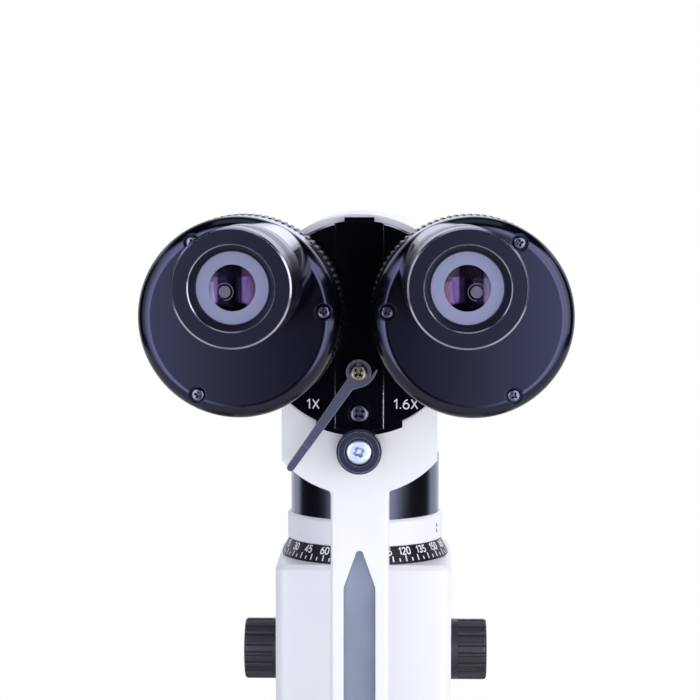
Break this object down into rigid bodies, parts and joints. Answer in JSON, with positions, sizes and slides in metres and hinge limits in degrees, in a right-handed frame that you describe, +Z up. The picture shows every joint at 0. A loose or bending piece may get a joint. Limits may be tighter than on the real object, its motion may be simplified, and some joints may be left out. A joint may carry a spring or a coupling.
{
  "type": "slit lamp",
  "caption": "Slit lamp on a rail base: binocular microscope with hinged eyepiece halves, lamp tower with a graduated turning slit, swing arms, lifting column and joystick.",
  "frame": {"origin": "point on the rest plane under the common swing axis of both arms", "axes": "+Z up, +X to the operator's right, operator at -Y"},
  "size_m": [0.33, 0.3594, 0.3609],
  "materials": {
    "satin_black": "satin paint with a fine sparkle",
    "black_alloy": "black anodised, satin",
    "gloss_black": "smooth, nearly glossy",
    "white_paint": "smooth satin",
    "rail_grey": "fine texture",
    "grey_plastic": "matte",
    "black_plastic": "satin",
    "coated_glass": "coated, violet reflection",
    "nickel": "plated",
    "brass_tint": "satin",
    "steel": "machined"
  },
  "bodies": {
    "rail_base": {"rail_plate": "rail_grey", "toothed_rails": "steel", "rail_covers": "rail_grey"},
    "carriage": {"carrier_bar": "steel"},
    "axle": {"cross_axle": "steel", "drive_pinions": "steel"},
    "base": {"base_housing": "white_paint", "column_sleeve": "steel"},
    "joystick_ball": {"joystick_ball": "steel"},
    "joystick": {"joystick_shaft": "black_plastic"},
    "height_ring": {"height_ring": "black_plastic"},
    "lock_knob": {"lock_knob": "black_plastic"},
    "brightness_knob": {"brightness_knob": "black_plastic"},
    "lift_screw": {"lift_screw": "steel"},
    "column": {"column_post": "steel", "pivot_shaft": "nickel"},
    "microscope": {"microscope_arm": "white_paint", "microscope_body": "white_paint", "front_plate": "gloss_black", "plate_screw": "nickel", "objective_ring": "black_alloy", "objective_lens": "coated_glass"},
    "thumb_knob": {"thumb_knob": "gloss_black", "thumb_screw": "nickel"},
    "changer_lever": {"changer_lever": "gloss_black", "lever_screw": "brass_tint", "lever_spindle": "steel"},
    "lens_carrier": {"lens_carrier": "brass_tint", "carrier_lenses": "coated_glass"},
    "left_half": {"left_hinge_hub": "brass_tint", "left_prism_housing": "satin_black", "left_grip_ring": "black_alloy", "left_housing_cover": "satin_black", "left_cover_screws": "nickel", "left_prism": "coated_glass", "left_eyepiece_tube": "black_alloy"},
    "left_dioptre": {"left_dioptre_ring": "black_alloy", "left_retaining_ring": "grey_plastic", "left_eye_lens": "coated_glass"},
    "right_half": {"right_hinge_hub": "brass_tint", "right_prism_housing": "satin_black", "right_grip_ring": "black_alloy", "right_housing_cover": "satin_black", "right_cover_screws": "nickel", "right_prism": "coated_glass", "right_eyepiece_tube": "black_alloy"},
    "right_dioptre": {"right_dioptre_ring": "black_alloy", "right_retaining_ring": "grey_plastic", "right_eye_lens": "coated_glass"},
    "illumination": {"illumination_arm": "white_paint", "lamp_house": "white_paint", "lamp_bulb": "coated_glass", "slit_block": "white_paint", "graduated_ring": "black_alloy", "prism_head": "black_alloy", "head_prism": "coated_glass"},
    "slit_drum": {"slit_drum": "black_alloy", "drum_collar": "white_paint"},
    "width_knobs": {"width_knobs": "black_plastic"}
  },
  "joints": [
    {"name": "carriage_slide", "type": "slide", "parent": "rail_base", "child": "carriage", "axis": [0, 1, 0], "range_m": [-0.04, 0.04]},
    {"name": "axle_roll", "type": "hinge", "parent": "carriage", "child": "axle", "pos_m": [0, -0.062, 0.026], "axis": [1, 0, 0], "range_deg": [-191, 191]},
    {"name": "base_slide", "type": "slide", "parent": "carriage", "child": "base", "axis": [1, 0, 0], "range_m": [-0.045, 0.045]},
    {"name": "joystick_fore_tilt", "type": "hinge", "parent": "base", "child": "joystick_ball", "pos_m": [0, -0.19, 0.048], "axis": [1, 0, 0], "range_deg": [-10, 10]},
    {"name": "joystick_side_tilt", "type": "hinge", "parent": "joystick_ball", "child": "joystick", "pos_m": [0, -0.19, 0.048], "axis": [0, 1, 0], "range_deg": [-10, 10]},
    {"name": "height_ring_turn", "type": "hinge", "parent": "joystick", "child": "height_ring", "pos_m": [0, -0.19, 0.073], "axis": [0, 0, 1], "range_deg": [0, 330]},
    {"name": "lock_turn", "type": "hinge", "parent": "base", "child": "lock_knob", "pos_m": [-0.0755, -0.12, 0.036], "axis": [-1, 0, 0], "range_deg": [0, 90]},
    {"name": "brightness_turn", "type": "hinge", "parent": "base", "child": "brightness_knob", "pos_m": [0.0755, -0.15, 0.036], "axis": [1, 0, 0], "range_deg": [0, 300]},
    {"name": "lift_screw_turn", "type": "hinge", "parent": "base", "child": "lift_screw", "pos_m": [0, 0, 0.03], "axis": [0, 0, 1], "range_deg": [0, 330]},
    {"name": "column_lift", "type": "slide", "parent": "base", "child": "column", "axis": [0, 0, 1], "range_m": [0, 0.03]},
    {"name": "microscope_swing", "type": "hinge", "parent": "column", "child": "microscope", "pos_m": [0, 0, 0.086], "axis": [0, 0, 1], "range_deg": [-45, 45]},
    {"name": "illumination_swing", "type": "hinge", "parent": "column", "child": "illumination", "pos_m": [0, 0, 0.1025], "axis": [0, 0, 1], "range_deg": [-60, 60]},
    {"name": "thumb_turn", "type": "hinge", "parent": "microscope", "child": "thumb_knob", "pos_m": [0, -0.1566, 0.2838], "axis": [0, -1, 0], "range_deg": [0, 270]},
    {"name": "changer_swing", "type": "hinge", "parent": "microscope", "child": "changer_lever", "pos_m": [0, -0.1566, 0.31], "axis": [0, -1, 0], "range_deg": [0, 71.25]},
    {"name": "carrier_flip", "type": "hinge", "parent": "microscope", "child": "lens_carrier", "pos_m": [0, -0.1326, 0.31], "axis": [1, 0, 0], "range_deg": [0, 90]},
    {"name": "right_pupil_swing", "type": "hinge", "parent": "microscope", "child": "right_half", "pos_m": [0.015, -0.1566, 0.324], "axis": [0, -1, 0], "range_deg": [-25, 18]},
    {"name": "left_pupil_swing", "type": "hinge", "parent": "microscope", "child": "left_half", "pos_m": [-0.015, -0.1566, 0.324], "axis": [0, -1, 0], "range_deg": [-18, 25]},
    {"name": "left_dioptre_turn", "type": "hinge", "parent": "left_half", "child": "left_dioptre", "pos_m": [-0.02958, -0.20576, 0.3426], "axis": [-0.0489, -0.9988, 0], "range_deg": [-75, 75]},
    {"name": "right_dioptre_turn", "type": "hinge", "parent": "right_half", "child": "right_dioptre", "pos_m": [0.02958, -0.20576, 0.3426], "axis": [0.0489, -0.9988, 0], "range_deg": [-75, 75]},
    {"name": "slit_turn", "type": "hinge", "parent": "illumination", "child": "slit_drum", "pos_m": [0, -0.07, 0.25], "axis": [0, 0, 1], "range_deg": [-90, 90]},
    {"name": "slit_width_turn", "type": "hinge", "parent": "illumination", "child": "width_knobs", "pos_m": [0, -0.056, 0.1987], "axis": [1, 0, 0], "range_deg": [0, 270]}
  ],
  "couplings": [
    {"joint": "axle_roll", "follows": "carriage_slide", "rad_per_m": -83.333},
    {"joint": "height_ring_turn", "follows": "column_lift", "rad_per_m": 191.98},
    {"joint": "lift_screw_turn", "follows": "column_lift", "rad_per_m": 191.98},
    {"joint": "carrier_flip", "follows": "changer_swing", "ratio": 1.2632},
    {"joint": "left_pupil_swing", "follows": "right_pupil_swing", "ratio": -1}
  ]
}
